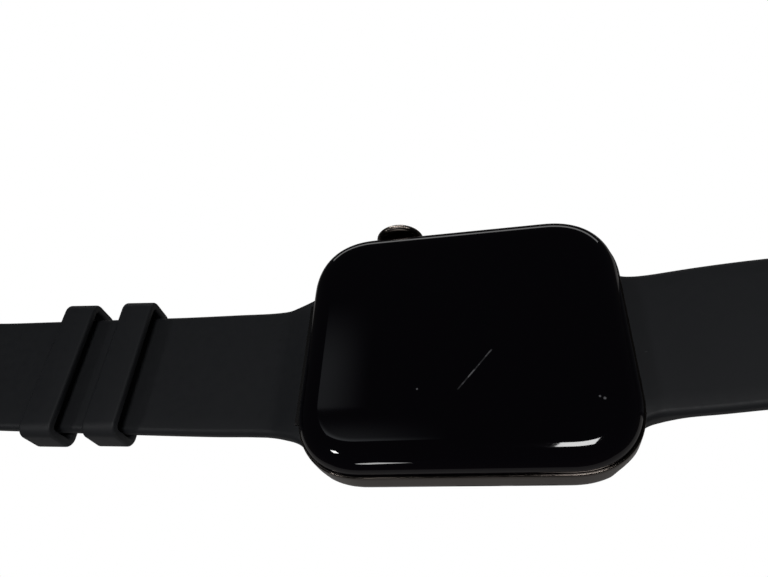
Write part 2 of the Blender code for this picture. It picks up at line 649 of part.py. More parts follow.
def strap_end(name, start, end):
    """The last link of the short strap: an eye for the spring bar, slotted for the tongue."""
    length, slope = direction(start, end)
    meet = math.degrees(math.asin(LINK_ROUND / STRAP_END_RADIUS))
    outline = arc((0, 0), LINK_ROUND, 90, 270, 8)
    outline += arc((length, 0), STRAP_END_RADIUS, -180 + meet, 180 - meet, 16)
    link = extrusion_along_y(name, outline, strap_width(start[0]) / 2, "silicone")
    tapered(link, start[0], length)
    bore = rod("bar_bore_cutter", (length, -REACH, 0), (length, REACH, 0), BAR_BORE)
    slot = box(
        "tongue_slot_cutter",
        (length - TONGUE_SLOT_LENGTH, -TONGUE_SLOT_HALF, -REACH),
        (length + REACH, TONGUE_SLOT_HALF, REACH),
    )
    for thing in (link, bore, slot):
        place(thing, (-start[0], 0, start[1]), 180, slope)
    return cut(link, bore, slot)


def buckle(bar):
    """A frame and a tongue that both turn on the spring bar through the strap's end."""
    location = (-bar[0], 0, bar[1])
    half_in = FRAME_INNER / 2
    half_out = half_in + FRAME_ARM
    round_out, round_in = FRAME_CORNER, FRAME_INNER_CORNER
    inner_end = FRAME_REACH - FRAME_ARM - round_in
    outer = [
        (-FRAME_BACK, -half_out), *arc((FRAME_REACH - round_out, round_out - half_out), round_out, -90, 0, 6),
        *arc((FRAME_REACH - round_out, half_out - round_out), round_out, 0, 90, 6), (-FRAME_BACK, half_out),
        (-FRAME_BACK, half_in), *arc((inner_end, half_in - round_in), round_in, 90, 0, 4),
        *arc((inner_end, round_in - half_in), round_in, 0, -90, 4), (-FRAME_BACK, -half_in),
    ]
    frame = plate("buckle_frame", [outer], -FRAME_THICK / 2, FRAME_THICK / 2, "black_steel")
    bevel = frame.modifiers.new("edges", "BEVEL")
    bevel.width = FRAME_EDGE
    bevel.segments = 2
    bevel.angle_limit = math.radians(50)
    holes = rod("frame_bore_cutter", (0, -REACH, 0), (0, REACH, 0), BAR_BORE)
    reach = half_out - GAP
    bar_rod = rod("buckle_bar", (0, -reach, 0), (0, reach, 0), BAR_RADIUS, "steel")
    low = FRAME_THICK / 2 + GAP
    high = low + TONGUE_THICK
    arm = extrusion_along_y(
        "tongue_arm",
        [
            (0, TONGUE_EYE / 4), (FRAME_REACH * 0.55, low), (FRAME_REACH - 2 * GAP, low),
            (FRAME_REACH - GAP, high - GAP), (FRAME_REACH - 3 * GAP, high),
            (FRAME_REACH * 0.4, high), (0, TONGUE_EYE - SNUG),
        ],
        TONGUE_WIDTH / 2,
    )
    half = TONGUE_WIDTH / 2 + TONGUE_SIDE
    tongue = rod("buckle_tongue", (0, -half, 0), (0, half, 0), TONGUE_EYE, "black_steel", 24)
    eye = rod("tongue_eye_cutter", (0, -REACH, 0), (0, REACH, 0), BAR_BORE)
    for thing in (frame, holes, bar_rod, arm, tongue, eye):
        place(thing, location, 180, BUCKLE_TILT)
    cut(frame, holes)
    cut(join(tongue, arm), eye)


def straps():
    strap_root("strap_12_root", STRAP_12_POINTS[0], ROOT_12_HEIGHTS, ROOT_12_SLOPE, 180)
    strap_root("strap_6_root", STRAP_6_POINTS[0], ROOT_6_HEIGHTS, ROOT_6_SLOPE, 0)
    strap_lug("lug_12", 180)
    strap_lug("lug_6", 0)
    release_button("release_button_12", -1)
    release_button("release_button_6", 1)
    for number in range(1, 4):
        start, end = STRAP_12_POINTS[number - 1 : number + 1]
        strap_link(f"strap_12_link_{number}", start, end, 180)
    strap_end("strap_12_link_4", *STRAP_12_POINTS[3:5])
    for number in range(1, 6):
        start, end = STRAP_6_POINTS[number - 1 : number + 1]
        link = strap_link(f"strap_6_link_{number}", start, end, 0)
        if number >= FIRST_HOLE_LINK:
            strap_holes(link, direction(start, end)[0])
    strap_tail("strap_6_link_6", *STRAP_6_POINTS[5:7])
    for number, (distance, lift) in enumerate(zip(KEEPER_X, KEEPER_LIFT), 1):
        keeper(f"keeper_{number}", distance, lift)
    buckle(STRAP_12_POINTS[-1])


case_body()
cover_glass()
back_and_sensors()
inside()
crown()
side_button()
straps()
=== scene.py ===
"""Looks of the smartwatch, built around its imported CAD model. Lengths are in metres."""

import json
import math

import bmesh
import bpy
from mathutils import Matrix, Vector


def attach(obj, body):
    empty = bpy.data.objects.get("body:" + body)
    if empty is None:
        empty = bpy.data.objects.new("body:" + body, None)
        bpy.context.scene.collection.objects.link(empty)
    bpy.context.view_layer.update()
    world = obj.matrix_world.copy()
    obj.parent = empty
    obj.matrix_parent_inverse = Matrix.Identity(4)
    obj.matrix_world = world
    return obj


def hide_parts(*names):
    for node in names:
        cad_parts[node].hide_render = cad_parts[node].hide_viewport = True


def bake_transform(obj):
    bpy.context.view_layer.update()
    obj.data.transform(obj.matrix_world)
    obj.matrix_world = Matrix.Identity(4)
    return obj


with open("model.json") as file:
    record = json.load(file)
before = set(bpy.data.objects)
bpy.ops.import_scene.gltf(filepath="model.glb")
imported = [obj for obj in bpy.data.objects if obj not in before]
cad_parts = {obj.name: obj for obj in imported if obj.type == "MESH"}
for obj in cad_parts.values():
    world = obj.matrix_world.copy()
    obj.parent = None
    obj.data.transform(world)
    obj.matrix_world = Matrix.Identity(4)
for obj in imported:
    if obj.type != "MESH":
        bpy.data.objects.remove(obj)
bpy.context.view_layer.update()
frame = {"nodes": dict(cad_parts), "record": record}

# ---- dimensions of the case; its outline, height, slots, crown place and button place repeat the CAD's ----
CASE_HALF = (0.02250, 0.01890)  # half its length and half its width
CASE_CORNER, CORNER_POWER = 0.0099, 2.3  # each corner is part of a superellipse
CASE_BASE, WALL_LOW, WALL_TOP, GLASS_TOP = 0.0007, 0.0044, 0.0066, 0.0107
ROUND_IN, ROUND_UP = 0.0028, 0.0037  # how far the wall curves in, and over what height
# the rim is lower and further out than the CAD's, as the photo shows it
RIM_LINE, RIM_ROUND, LIP_IN, LIP_ROUND = 0.0074, 0.00010, 0.00034, 0.6
SEAT_Z, SEAT_IN = 0.0070, 0.0011  # the step that the glass sits on
LEDGE_Z, LEDGE_IN, CAVITY_Z = 0.00775, 0.0023, 0.0058
GLASS_BORDER, GLASS_POWER, GLASS_SLACK = 0.0036, 2.2, 0.00005
CROWN_X, CROWN_Z = -0.0095, 0.0062
BUTTON_X, BUTTON_Z = 0.0090, 0.0056
SLOT_X, SLOT_Z, SLOT_RADIUS, MOUTH_HALF, MOUTH_OUT = 0.0194, 0.0032, 0.00185, 0.00125, 0.005
# openings in the case, as sizes in plan, corner radius and the heights between which they are cut
WELL_X, WELL_SIZE, WELL_CUT = 0.0154, (0.0030, 0.0066), (-0.001, 0.0039)
BACK_RECESS, BACK_CUT = (0.0264, 0.0306, 0.0022), (-0.001, 0.0026)
LOWER_CAVITY, LOWER_CUT = (0.0248, 0.0288, 0.0015), (-0.002, 0.0070)
DISPLAY_POCKET, DISPLAY_CUT = (0.0392, 0.0324, 0.0062), (0.0070, 0.0095)
# openings in the side walls, as sizes and the Y between which they are cut
CROWN_BORE, CROWN_CUT = 0.00125, (0.0120, 0.0220)
KEY_POCKET, KEY_CUT = (0.0119, 0.0034), (0.0173, 0.0210)
STEM_BORE, STEM_CUT = 0.0009, (0.0130, 0.0180)
MICROPHONE_X, MICROPHONE_BORE, MICROPHONE_CUT = 0.0004, 0.0004, (0.0130, 0.0210)
SPEAKER_XS, SPEAKER_Z = (0.0015, 0.0085), 0.0036
SPEAKER_SLOT, SPEAKER_CUT = (0.0055, 0.0009), (-0.0210, -0.0130)
PAST_CASE = 0.03  # cutters that go right through end here


# ---- small tools ----


def mesh_object(name, points, faces, sharp=40):
    mesh = bpy.data.meshes.new(name)
    mesh.from_pydata([tuple(p) for p in points], [], faces)
    shape = bmesh.new()
    shape.from_mesh(mesh)
    bmesh.ops.remove_doubles(shape, verts=shape.verts, dist=1e-7)
    bmesh.ops.recalc_face_normals(shape, faces=shape.faces)
    shape.to_mesh(mesh)
    shape.free()
    thing = bpy.data.objects.new(name, mesh)
    bpy.context.scene.collection.objects.link(thing)
    smooth(thing, sharp)
    return thing


def smooth(thing, sharp=40):
    thing.data.shade_smooth()
    thing.data.set_sharp_from_angle(angle=math.radians(sharp))


def skin(rings, closed=True, caps=True):
    """Faces of a surface lofted through rings of points; the ends are capped when caps is set."""
    count = len(rings[0])
    points = [p for ring in rings for p in ring]
    faces = []
    last = count if closed else count - 1
    for r in range(len(rings) - 1):
        for i in range(last):
            a, b = r * count + i, r * count + (i + 1) % count
            faces.append((a, b, b + count, a + count))
    if caps:
        faces.append(tuple(range(count)))
        faces.append(tuple(range((len(rings) - 1) * count, len(rings) * count)))
    return points, faces


def loft(name, rings, sharp=40, caps=True):
    return mesh_object(name, *skin(rings, caps=caps), sharp=sharp)


def carve(thing, *cutters, operation="DIFFERENCE", sharp=30):
    """Cuts other meshes out of this one for good, and drops them."""
    for cutter in cutters:
        modifier = thing.modifiers.new("cut", "BOOLEAN")
        modifier.operation = operation
        modifier.solver = "EXACT"
        modifier.object = cutter
    graph = bpy.context.evaluated_depsgraph_get()
    made = bpy.data.meshes.new_from_object(thing.evaluated_get(graph))
    thing.modifiers.clear()
    thing.data = made
    for cutter in cutters:
        bpy.data.objects.remove(cutter)
    smooth(thing, sharp)
    return thing


CORNERS = ((1, 1, 0), (-1, 1, 90), (-1, -1, 180), (1, -1, 270))  # the signs and first angle of each corner
LONG_SIDE = 0.004  # outline sides longer than this are divided


def rounded_box_outline(length, width, radius, steps=6, centre=(0, 0)):
    points = []
    for sx, sy, start in CORNERS:
        cx = centre[0] + sx * (length / 2 - radius)
        cy = centre[1] + sy * (width / 2 - radius)
        for i in range(steps + 1):
            a = math.radians(start + 90 * i / steps)
            points.append((cx + radius * math.cos(a), cy + radius * math.sin(a)))
    return points


def pill(length, width, steps=8, centre=(0, 0)):
    """A round-ended outline, longest along its first axis when length is over width."""
    return rounded_box_outline(length, width, min(length, width) / 2, steps, centre)


def divided(outline, parts):
    """An outline with its long sides, which are level, split into equal parts."""
    full = []
    for i, (y, z) in enumerate(outline):
        full.append((y, z))
        after = outline[(i + 1) % len(outline)]
        if abs(after[0] - y) > LONG_SIDE:
            full += [(y + (after[0] - y) * k / parts, z) for k in range(1, parts)]
    return full


def prism(name, outline, low, high, axis="Z"):
    """A straight prism: along Z the outline is (x, y); along Y it is (x, z)."""
    rings = []
    for level in (low, high):
        if axis == "Z":
            rings.append([Vector((u, v, level)) for u, v in outline])
        else:
            rings.append([Vector((u, level, v)) for u, v in outline])
    return loft(name, rings)


def circle(radius, steps, centre=(0, 0), start=0.0):
    return [
        (centre[0] + radius * math.cos(start + 2 * math.pi * i / steps),
         centre[1] + radius * math.sin(start + 2 * math.pi * i / steps))
        for i in range(steps)
    ]


def hermite(rows, x):
    """A smooth curve through rows of (x, a, b, ...), as a list of the other columns at x."""
    if x <= rows[0][0]:
        return list(rows[0][1:])
    if x >= rows[-1][0]:
        return list(rows[-1][1:])
    k = max(i for i in range(len(rows) - 1) if rows[i][0] <= x)
    x0, x1 = rows[k][0], rows[k + 1][0]
    t = (x - x0) / (x1 - x0)
    values = []
    for c in range(1, len(rows[0])):
        slope = (rows[k + 1][c] - rows[k][c]) / (x1 - x0)
        before = (rows[k][c] - rows[k - 1][c]) / (x0 - rows[k - 1][0]) if k else slope
        after = (
            (rows[k + 2][c] - rows[k + 1][c]) / (rows[k + 2][0] - x1) if k + 2 < len(rows) else slope
        )
        m0 = 0 if before * slope < 0 else (before + slope) / 2
        m1 = 0 if after * slope < 0 else (after + slope) / 2
        h = x1 - x0
        values.append(
            (2 * t**3 - 3 * t**2 + 1) * rows[k][c] + (t**3 - 2 * t**2 + t) * h * m0
            + (3 * t**2 - 2 * t**3) * rows[k + 1][c] + (t**3 - t**2) * h * m1
        )
    return values


# ---- materials ----


class Look:
    """A node material being wired up."""

    def __init__(self, name, color, roughness, metallic=0.0, **sockets):
        self.material = bpy.data.materials.new(name)
        self.material.use_nodes = True
        self.tree = self.material.node_tree
        self.shader = self.tree.nodes["Principled BSDF"]
        self.shader.inputs["Base Color"].default_value = (*color, 1)
        self.shader.inputs["Roughness"].default_value = roughness
        self.shader.inputs["Metallic"].default_value = metallic
        self.material.diffuse_color = (*color, 1)
        for socket, value in sockets.items():
            self.shader.inputs[socket.replace("_", " ")].default_value = value
        self.coords = self.tree.nodes.new("ShaderNodeTexCoord").outputs["Object"]

    def node(self, kind, **settings):
        made = self.tree.nodes.new(kind)
        for key, value in settings.items():
            setattr(made, key, value)
        return made

    def link(self, source, target):
        self.tree.links.new(source, target)

    def noise(self, scale, detail=3.0, rough=0.5, coords=None):
        made = self.node("ShaderNodeTexNoise")
        made.inputs["Scale"].default_value = scale
        made.inputs["Detail"].default_value = detail
        made.inputs["Roughness"].default_value = rough
        self.link(coords or self.coords, made.inputs["Vector"])
        return made.outputs["Fac"]

    def stretch(self, scale, turn=(0, 0, 0)):
        made = self.node("ShaderNodeMapping")
        made.inputs["Scale"].default_value = scale
        made.inputs["Rotation"].default_value = [math.radians(a) for a in turn]
        self.link(self.coords, made.inputs["Vector"])
        return made.outputs["Vector"]

    def ramp(self, value, low, high, to_low=0.0, to_high=1.0):
        made = self.node("ShaderNodeMapRange")
        made.inputs["From Min"].default_value = low
        made.inputs["From Max"].default_value = high
        made.inputs["To Min"].default_value = to_low
        made.inputs["To Max"].default_value = to_high
        self.link(value, made.inputs["Value"])
        return made.outputs["Result"]

    def math(self, operation, first, second):
        made = self.node("ShaderNodeMath", operation=operation)
        for socket, value in zip(made.inputs, (first, second)):
            if isinstance(value, (int, float)):
                socket.default_value = value
            else:
                self.link(value, socket)
        return made.outputs[0]

    def mix(self, factor, first, second):
        made = self.node("ShaderNodeMix", data_type="RGBA")
        self.link(factor, made.inputs["Factor"])
        for socket, value in ((made.inputs[6], first), (made.inputs[7], second)):
            if isinstance(value, tuple):
                socket.default_value = (*value, 1)
            else:
                self.link(value, socket)
        return made.outputs[2]

    def color(self, source):
        self.link(source, self.shader.inputs["Base Color"])

    def roughness(self, source):
        self.link(source, self.shader.inputs["Roughness"])

    def bump(self, height, strength, distance):
        made = self.node("ShaderNodeBump")
        made.inputs["Strength"].default_value = strength
        made.inputs["Distance"].default_value = distance
        self.link(height, made.inputs["Height"])
        self.link(made.outputs["Normal"], self.shader.inputs["Normal"])

    def specks(self, scale, size, share, coords=None):
        """Small round spots, one in some of the cells of a grid: 1 on a spot, 0 elsewhere."""
        cells = self.node("ShaderNodeTexVoronoi", feature="F1")
        cells.inputs["Scale"].default_value = scale
        self.link(coords or self.coords, cells.inputs["Vector"])
        parts = self.node("ShaderNodeSeparateColor")
        self.link(cells.outputs["Color"], parts.inputs["Color"])
        chosen = self.math("LESS_THAN", parts.outputs[0], share)
        near = self.ramp(cells.outputs["Distance"], size, size * 0.4)
        return self.math("MULTIPLY", chosen, near)

    def scratch(self, start, end, half_width):
        """A fine broken line on a level face, from start to end in plan: 1 on the line, 0 elsewhere."""
        start, end = Vector(start), Vector(end)
        along = (end - start).normalized()
        turned = self.node("ShaderNodeMapping")
        turned.inputs["Rotation"].default_value = (0, 0, -math.atan2(along.y, along.x))
        turned.inputs["Location"].default_value = (-start.dot(along), -along.cross(start), 0)
        self.link(self.coords, turned.inputs["Vector"])
        parts = self.node("ShaderNodeSeparateXYZ")
        self.link(turned.outputs["Vector"], parts.inputs["Vector"])
        length = (end - start).length
        across = self.math("ABSOLUTE", parts.outputs["Y"], 0.0)
        beside = self.ramp(across, half_width, half_width * 0.3)
        inside = self.math("MULTIPLY", beside, self.ramp(parts.outputs["X"], 0.0, length * 0.05))
        inside = self.math("MULTIPLY", inside, self.ramp(parts.outputs["X"], length, length * 0.95))
        broken = self.ramp(self.noise(900, 2), 0.44, 0.56, 0.25, 1.0)
        return self.math("MULTIPLY", inside, broken)

    def spot(self, place, size):
        """One small mark on a level face at a place in plan: 1 on it, 0 elsewhere."""
        flat = self.node("ShaderNodeVectorMath", operation="MULTIPLY")
        flat.inputs[1].default_value = (1, 1, 0)
        self.link(self.coords, flat.inputs[0])
        away = self.node("ShaderNodeVectorMath", operation="DISTANCE")
        away.inputs[1].default_value = (*place, 0)
        self.link(flat.outputs[0], away.inputs[0])
        return self.ramp(away.outputs["Value"], size, size * 0.4)


def silicone_look():
    look = Look("silicone", (0.0135, 0.0138, 0.0160), 0.56, Specular_IOR_Level=0.42)
    cloud = look.noise(90, 4)
    tone = look.mix(look.ramp(cloud, 0.3, 0.7), (0.0108, 0.0118, 0.0142), (0.0120, 0.0130, 0.0156))
    dust = look.specks(330, 0.055, 0.055)
    lint = look.specks(1.0, 0.05, 0.05, look.stretch((160, 620, 160), (0, 0, 24)))
    marks = look.math("MAXIMUM", dust, look.math("MULTIPLY", lint, 0.7))
    look.color(look.mix(look.math("MULTIPLY", marks, 0.75), tone, (0.115, 0.115, 0.120)))
    look.roughness(look.ramp(look.noise(900, 3), 0.3, 0.7, 0.54, 0.62))
    grain = look.math("ADD", look.noise(7000, 2), look.math("MULTIPLY", dust, 1.5))
    look.bump(grain, 0.12, 0.00004)
    return look.material


def case_look():
    look = Look("black_case", (0.130, 0.112, 0.100), 0.13, 1.0)
    cloud = look.noise(140, 3)
    look.color(look.mix(look.ramp(cloud, 0.3, 0.7), (0.120, 0.102, 0.090), (0.138, 0.120, 0.108)))
    hairline = look.noise(1.0, 2, coords=look.stretch((900, 900, 5200), (0, 0, 0)))
    look.roughness(look.ramp(hairline, 0.3, 0.75, 0.10, 0.17))
    look.bump(hairline, 0.02, 0.00001)
    return look.material


GLASS_COLOR, GLASS_MARK_COLOR = (0.0016, 0.0010, 0.0022), (0.17, 0.17, 0.18)
GLASS_SCRATCH = (-0.00019, -0.00883), (0.00445, -0.00326), 0.00012  # start, end, half width
GLASS_SPOTS = ((-0.00534, -0.00844), 0.00016), ((0.01684, -0.0104), 0.00016), ((0.01736, -0.01068), 0.00022)


def glass_look():
    look = Look("black_glass", GLASS_COLOR, 0.03, IOR=1.52)
    smear = look.noise(1.0, 4, coords=look.stretch((120, 60, 60), (0, 0, 30)))
    specks = look.specks(150, 0.010, 0.06)
    marks = look.math("MAXIMUM", specks, look.scratch(*GLASS_SCRATCH))
    for place, size in GLASS_SPOTS:
        marks = look.math("MAXIMUM", marks, look.spot(place, size))
    look.color(look.mix(marks, GLASS_COLOR, GLASS_MARK_COLOR))
    clean = look.ramp(smear, 0.45, 0.8, 0.025, 0.06)
    look.roughness(look.math("ADD", clean, look.math("MULTIPLY", marks, 0.4)))
    look.bump(marks, 0.05, 0.00001)
    return look.material


def plain_look(name, color, roughness, metallic=0.0, grain=900, spread=0.12, bump=0.03, vary=0.07,
               stretch=None, **sockets):
    """A look with a faint grain. Spread varies its color, vary its roughness; stretch scales the grain by axis."""
    look = Look(name, color, roughness, metallic, **sockets)
    coords = look.stretch(stretch) if stretch else None
    cloud = look.noise(1.0 if stretch else grain, 3, coords=coords)
    darker = tuple(c * (1 - spread) for c in color)
    lighter = tuple(min(c * (1 + spread), 1) for c in color)
    look.color(look.mix(look.ramp(cloud, 0.3, 0.7), darker, lighter))
    look.roughness(look.ramp(cloud, 0.3, 0.7, max(roughness - vary, 0.02), min(roughness + vary, 1)))
    look.bump(cloud, bump, 0.00003)
    return look.material


LOOKS = {
    "silicone": silicone_look(),
    "black_case": case_look(),
    "black_glass": glass_look(),
    "display": plain_look("display", (0.003, 0.003, 0.004), 0.3),
    "back_ceramic": plain_look("back_ceramic", (0.006, 0.006, 0.007), 0.09, grain=300, Coat_Weight=0.5),
    "seal_rubber": plain_look("seal_rubber", (0.010, 0.010, 0.010), 0.75),
    "steel": plain_look(
        "steel", (0.46, 0.46, 0.47), 0.28, 1.0, bump=0.0, vary=0.03, stretch=(200, 900, 200),
    ),
    "black_steel": plain_look(
        "black_steel", (0.075, 0.070, 0.068), 0.26, 1.0, grain=220, spread=0.06, bump=0.0, vary=0.02,
    ),
    "copper": plain_look("copper", (0.70, 0.30, 0.15), 0.35, 1.0, stretch=(3000, 3000, 3000)),
    "circuit_board": plain_look("circuit_board", (0.01, 0.05, 0.03), 0.45, spread=0.3),
    "battery_wrap": plain_look("battery_wrap", (0.04, 0.04, 0.045), 0.5),
    "led_lens": plain_look("led_lens", (0.05, 0.35, 0.12), 0.15, Coat_Weight=0.6),
    "photodiode": plain_look("photodiode", (0.03, 0.03, 0.05), 0.15, Coat_Weight=0.6),
    "nylon": plain_look("nylon", (0.08, 0.08, 0.08), 0.6),
}


def dress(piece, slot, body=None, replaces=()):
    piece.data.materials.clear()
    piece.data.materials.append(LOOKS[slot])
    if body:
        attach(piece, body)
    if replaces:
        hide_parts(*replaces)
    return piece


# ---- case ----


def case_outline(corner_steps=28, side_steps=14):
    """The case's outline in plan with the outward normal at each point."""
    half_x, half_y = CASE_HALF
    straight_x, straight_y = half_x - CASE_CORNER, half_y - CASE_CORNER
    corner = []
    for i in range(corner_steps + 1):
        t = math.pi / 2 * i / corner_steps
        c, s = math.cos(t), math.sin(t)
        place = Vector((c ** (2 / CORNER_POWER), s ** (2 / CORNER_POWER))) * CASE_CORNER
        normal = Vector((c ** (2 - 2 / CORNER_POWER), s ** (2 - 2 / CORNER_POWER))).normalized()
        corner.append((place, normal))
    made = []
    for sx, sy, flip in ((1, 1, False), (-1, 1, True), (-1, -1, False), (1, -1, True)):
        for place, normal in (reversed(corner) if flip else corner):
            made.append((
                Vector((sx * (straight_x + place.x), sy * (straight_y + place.y))),
                Vector((sx * normal.x, sy * normal.y)),
            ))
    full = []
    for i, (place, normal) in enumerate(made):
        full.append((place, normal))
        after, after_normal = made[(i + 1) % len(made)]
        if (after - place).length > 0.01:
            for k in range(1, side_steps):
                full.append((place.lerp(after, k / side_steps), normal))
    return full


OUTLINE = case_outline()


def case_ring(inset, z):
    return [Vector((p.x - inset * n.x, p.y - inset * n.y, z)) for p, n in OUTLINE]


def ellipse_profile(inset, rise_in, rise_up, low, steps, upto=1.0):
    """Rows of (inset, z) up a quarter ellipse that starts upright at low and leans in."""
    rows = []
    for i in range(steps + 1):
        s = upto * i / steps
        rows.append((inset + rise_in * (1 - math.sqrt(max(1 - s * s, 0))), low + rise_up * s))
    return rows


def case_shell():
    """The case: its walls up from the base to the rim, then down the seat and the cavity, and its openings."""
    under = [(inset, 2 * WALL_LOW - z) for inset, z in ellipse_profile(0, ROUND_IN, ROUND_UP, WALL_LOW, 14)]
    profile = [(ROUND_IN + 0.0012, CASE_BASE)] + under[::-1]
    profile += [(0, 0.0050), (0, 0.0058)]
    top = (RIM_LINE - RIM_ROUND - WALL_TOP) / ROUND_UP
    profile += ellipse_profile(0, ROUND_IN, ROUND_UP, WALL_TOP, 12, top)
    edge_in = profile[-1][0]
    for turn in (25, 50, 75, 90):
        a = math.radians(turn)
        profile.append((
            edge_in + RIM_ROUND * (1 - math.cos(a)) + 0.00002,
            RIM_LINE - RIM_ROUND * (1 - math.sin(a)),
        ))
    for turn in (0, 30, 60, 90):
        a = math.radians(turn)
        profile.append((
            LIP_IN - RIM_ROUND * LIP_ROUND * (1 - math.sin(a)),
            RIM_LINE - RIM_ROUND * LIP_ROUND * (1 - math.cos(a)),
        ))
    profile += [(LIP_IN, SEAT_Z), (SEAT_IN, SEAT_Z), (SEAT_IN, LEDGE_Z)]
    profile += [(LEDGE_IN, LEDGE_Z), (LEDGE_IN, CAVITY_Z)]
    shell = loft("case_shell", [case_ring(inset, z) for inset, z in profile])
    opening = math.degrees(math.asin(MOUTH_HALF / SLOT_RADIUS))
    cutters = []
    for side in (-1, 1):
        outline = []
        for i in range(25):
            a = math.radians(opening + (360 - 2 * opening) * i / 24)
            outline.append((side * (SLOT_X + SLOT_RADIUS * math.cos(a)), SLOT_Z + SLOT_RADIUS * math.sin(a)))
        mouth_end = side * (SLOT_X + MOUTH_OUT)
        outline += [(mouth_end, SLOT_Z - MOUTH_HALF), (mouth_end, SLOT_Z + MOUTH_HALF)]
        cutters.append(prism("slot", outline, -PAST_CASE, PAST_CASE, "Y"))
        well = [(side * WELL_X + x, y) for x, y in pill(*WELL_SIZE)]
        cutters.append(prism("well", well, *WELL_CUT))
    cutters.append(prism("back_recess", rounded_box_outline(*BACK_RECESS), *BACK_CUT))
    cutters.append(prism("lower_cavity", rounded_box_outline(*LOWER_CAVITY), *LOWER_CUT))
    cutters.append(prism("bore", circle(CROWN_BORE, 32, (CROWN_X, CROWN_Z)), *CROWN_CUT, "Y"))
    cutters.append(prism("pocket", pill(*KEY_POCKET, centre=(BUTTON_X, BUTTON_Z)), *KEY_CUT, "Y"))
    cutters.append(prism("stem", circle(STEM_BORE, 24, (BUTTON_X, BUTTON_Z)), *STEM_CUT, "Y"))
    microphone = circle(MICROPHONE_BORE, 20, (MICROPHONE_X, BUTTON_Z))
    cutters.append(prism("microphone", microphone, *MICROPHONE_CUT, "Y"))
    for x in SPEAKER_XS:
        slot = pill(*SPEAKER_SLOT, centre=(x, SPEAKER_Z))
        cutters.append(prism("speaker_slot", slot, *SPEAKER_CUT, "Y"))
    return carve(shell, *cutters)


def cover_glass():
    """The glass: flat in the middle, with a long superellipse curve down to the rim."""
    inset, low, under = LIP_IN + 0.00004, RIM_LINE - 0.00008, 0.0080
    foot_in, foot_z = SEAT_IN - GLASS_SLACK, SEAT_Z + GLASS_SLACK
    profile = [
        (0.0030, under), (foot_in, under), (foot_in, foot_z),
        (inset + 0.0001, foot_z), (inset, SEAT_Z + 0.00015), (inset, low),
    ]
    for i in range(1, 33):
        a = math.radians(90 * i / 32)
        out, up = math.cos(a) ** (2 / GLASS_POWER), math.sin(a) ** (2 / GLASS_POWER)
        profile.append((inset + GLASS_BORDER * (1 - out), low + (GLASS_TOP - low) * up))
    profile += [(inset + GLASS_BORDER + extra, GLASS_TOP) for extra in (0.0002, 0.0012)]
    glass = loft("watch_glass", [case_ring(i, z) for i, z in profile])
    pocket = prism("display_pocket", rounded_box_outline(*DISPLAY_POCKET), *DISPLAY_CUT)
    return carve(glass, pocket)


dress(case_shell(), "black_case", "watch_case", ["case_body"])
dress(cover_glass(), "black_glass", "watch_case", ["cover_glass"])


def crown():
    """The crown: fine grooves round its side, a thin line round its face and a shallow dome."""
    radius, face, end, bore = 0.0038, 0.01925, 0.0208, 0.00082
    teeth, per_tooth, groove_depth = 64, 4, 0.00007
    steps = teeth * per_tooth
    line_in, line_out = 0.00086, 0.00130  # the inner side of the thin line, where the dome starts
    # how far inside the radius, how far out from the inner face, and the share of the grooves' depth
    side = [
        (0.00100, 0.00000, 0), (0.00068, 0.00006, 0), (0.00040, 0.00020, 0.3), (0.00018, 0.00038, 0.8),
        (0.00004, 0.00058, 1), (0.00000, 0.00074, 1), (0.00004, 0.00090, 0.8), (0.00014, 0.00102, 0.3),
        (0.00030, 0.00113, 0), (0.00048, 0.00121, 0), (0.00062, 0.00125, 0), (0.00068, 0.00122, 0),
        (0.00080, 0.00122, 0), (line_in, line_out, 0),
    ]
    profile = [(bore, face + 0.0008, 0), (bore, face, 0)]
    profile += [(radius - inset, face + out, groove) for inset, out, groove in side]
    crest = radius - line_in
    for i in range(1, 8):
        r = crest * (1 - i / 8)
        profile.append((r, end - (end - face - line_out) * (r / crest) ** 2, 0))
    profile.append((1e-5, end, 0))
    rings = []
    for r, y, groove in profile:
        ring = []
        for i in range(steps):
            depth = groove_depth * groove * (0.5 - 0.5 * math.cos(2 * math.pi * i / per_tooth))
            a = 2 * math.pi * i / steps
            ring.append(Vector((CROWN_X + (r - depth) * math.cos(a), y, CROWN_Z + (r - depth) * math.sin(a))))
        rings.append(ring)
    return loft("crown_knob", rings, 50)


def side_key():
    """The side button: a round-ended key with softened edges, on its stem."""
    low, high, edge = 0.0177, 0.01915, 0.00028
    levels = [(0.0004, low), (0.0, low + 0.0002), (0.0, high - edge)]
    for turn in (30, 60, 90):
        a = math.radians(turn)
        levels.append((edge * (1 - math.cos(a)), high - edge * (1 - math.sin(a))))
    levels.append((0.0009, high + 0.00002))
    rings = []
    for inset, y in levels:
        outline = pill(0.0115 - 2 * inset, 0.0030 - 2 * inset, 10, (BUTTON_X, BUTTON_Z))
        rings.append([Vector((u, y, v)) for u, v in outline])
    key = loft("side_key", rings)
    stem = prism("stem", circle(0.0006, 20, (BUTTON_X, BUTTON_Z)), 0.01445, 0.0179, "Y")
    return carve(key, stem, operation="UNION")


dress(crown(), "black_case", "crown", ["crown_cap"])
dress(side_key(), "black_case", "side_button", ["side_button"])


def window():
    """The sensor window: a shallow dome that the watch rests on."""
    radius, flat = 0.0110, 0.0045
    profile = [(0.0, 0.0015), (radius - 0.0001, 0.0015), (radius, 0.0014), (radius, CASE_BASE + 0.0001)]
    for i in range(13):
        share = 1 - i / 12
        profile.append((flat + (radius - 0.00008 - flat) * share, CASE_BASE * share * share))
    profile += [(flat - 0.0004, 0.0), (0.0, 0.0)]
    rings = [[Vector((x, y, z)) for x, y in circle(max(r, 1e-6), 128)] for r, z in profile]
    return loft("window_dome", rings)


dress(window(), "back_ceramic", "watch_case", ["sensor_window"])


# ---- strap ----

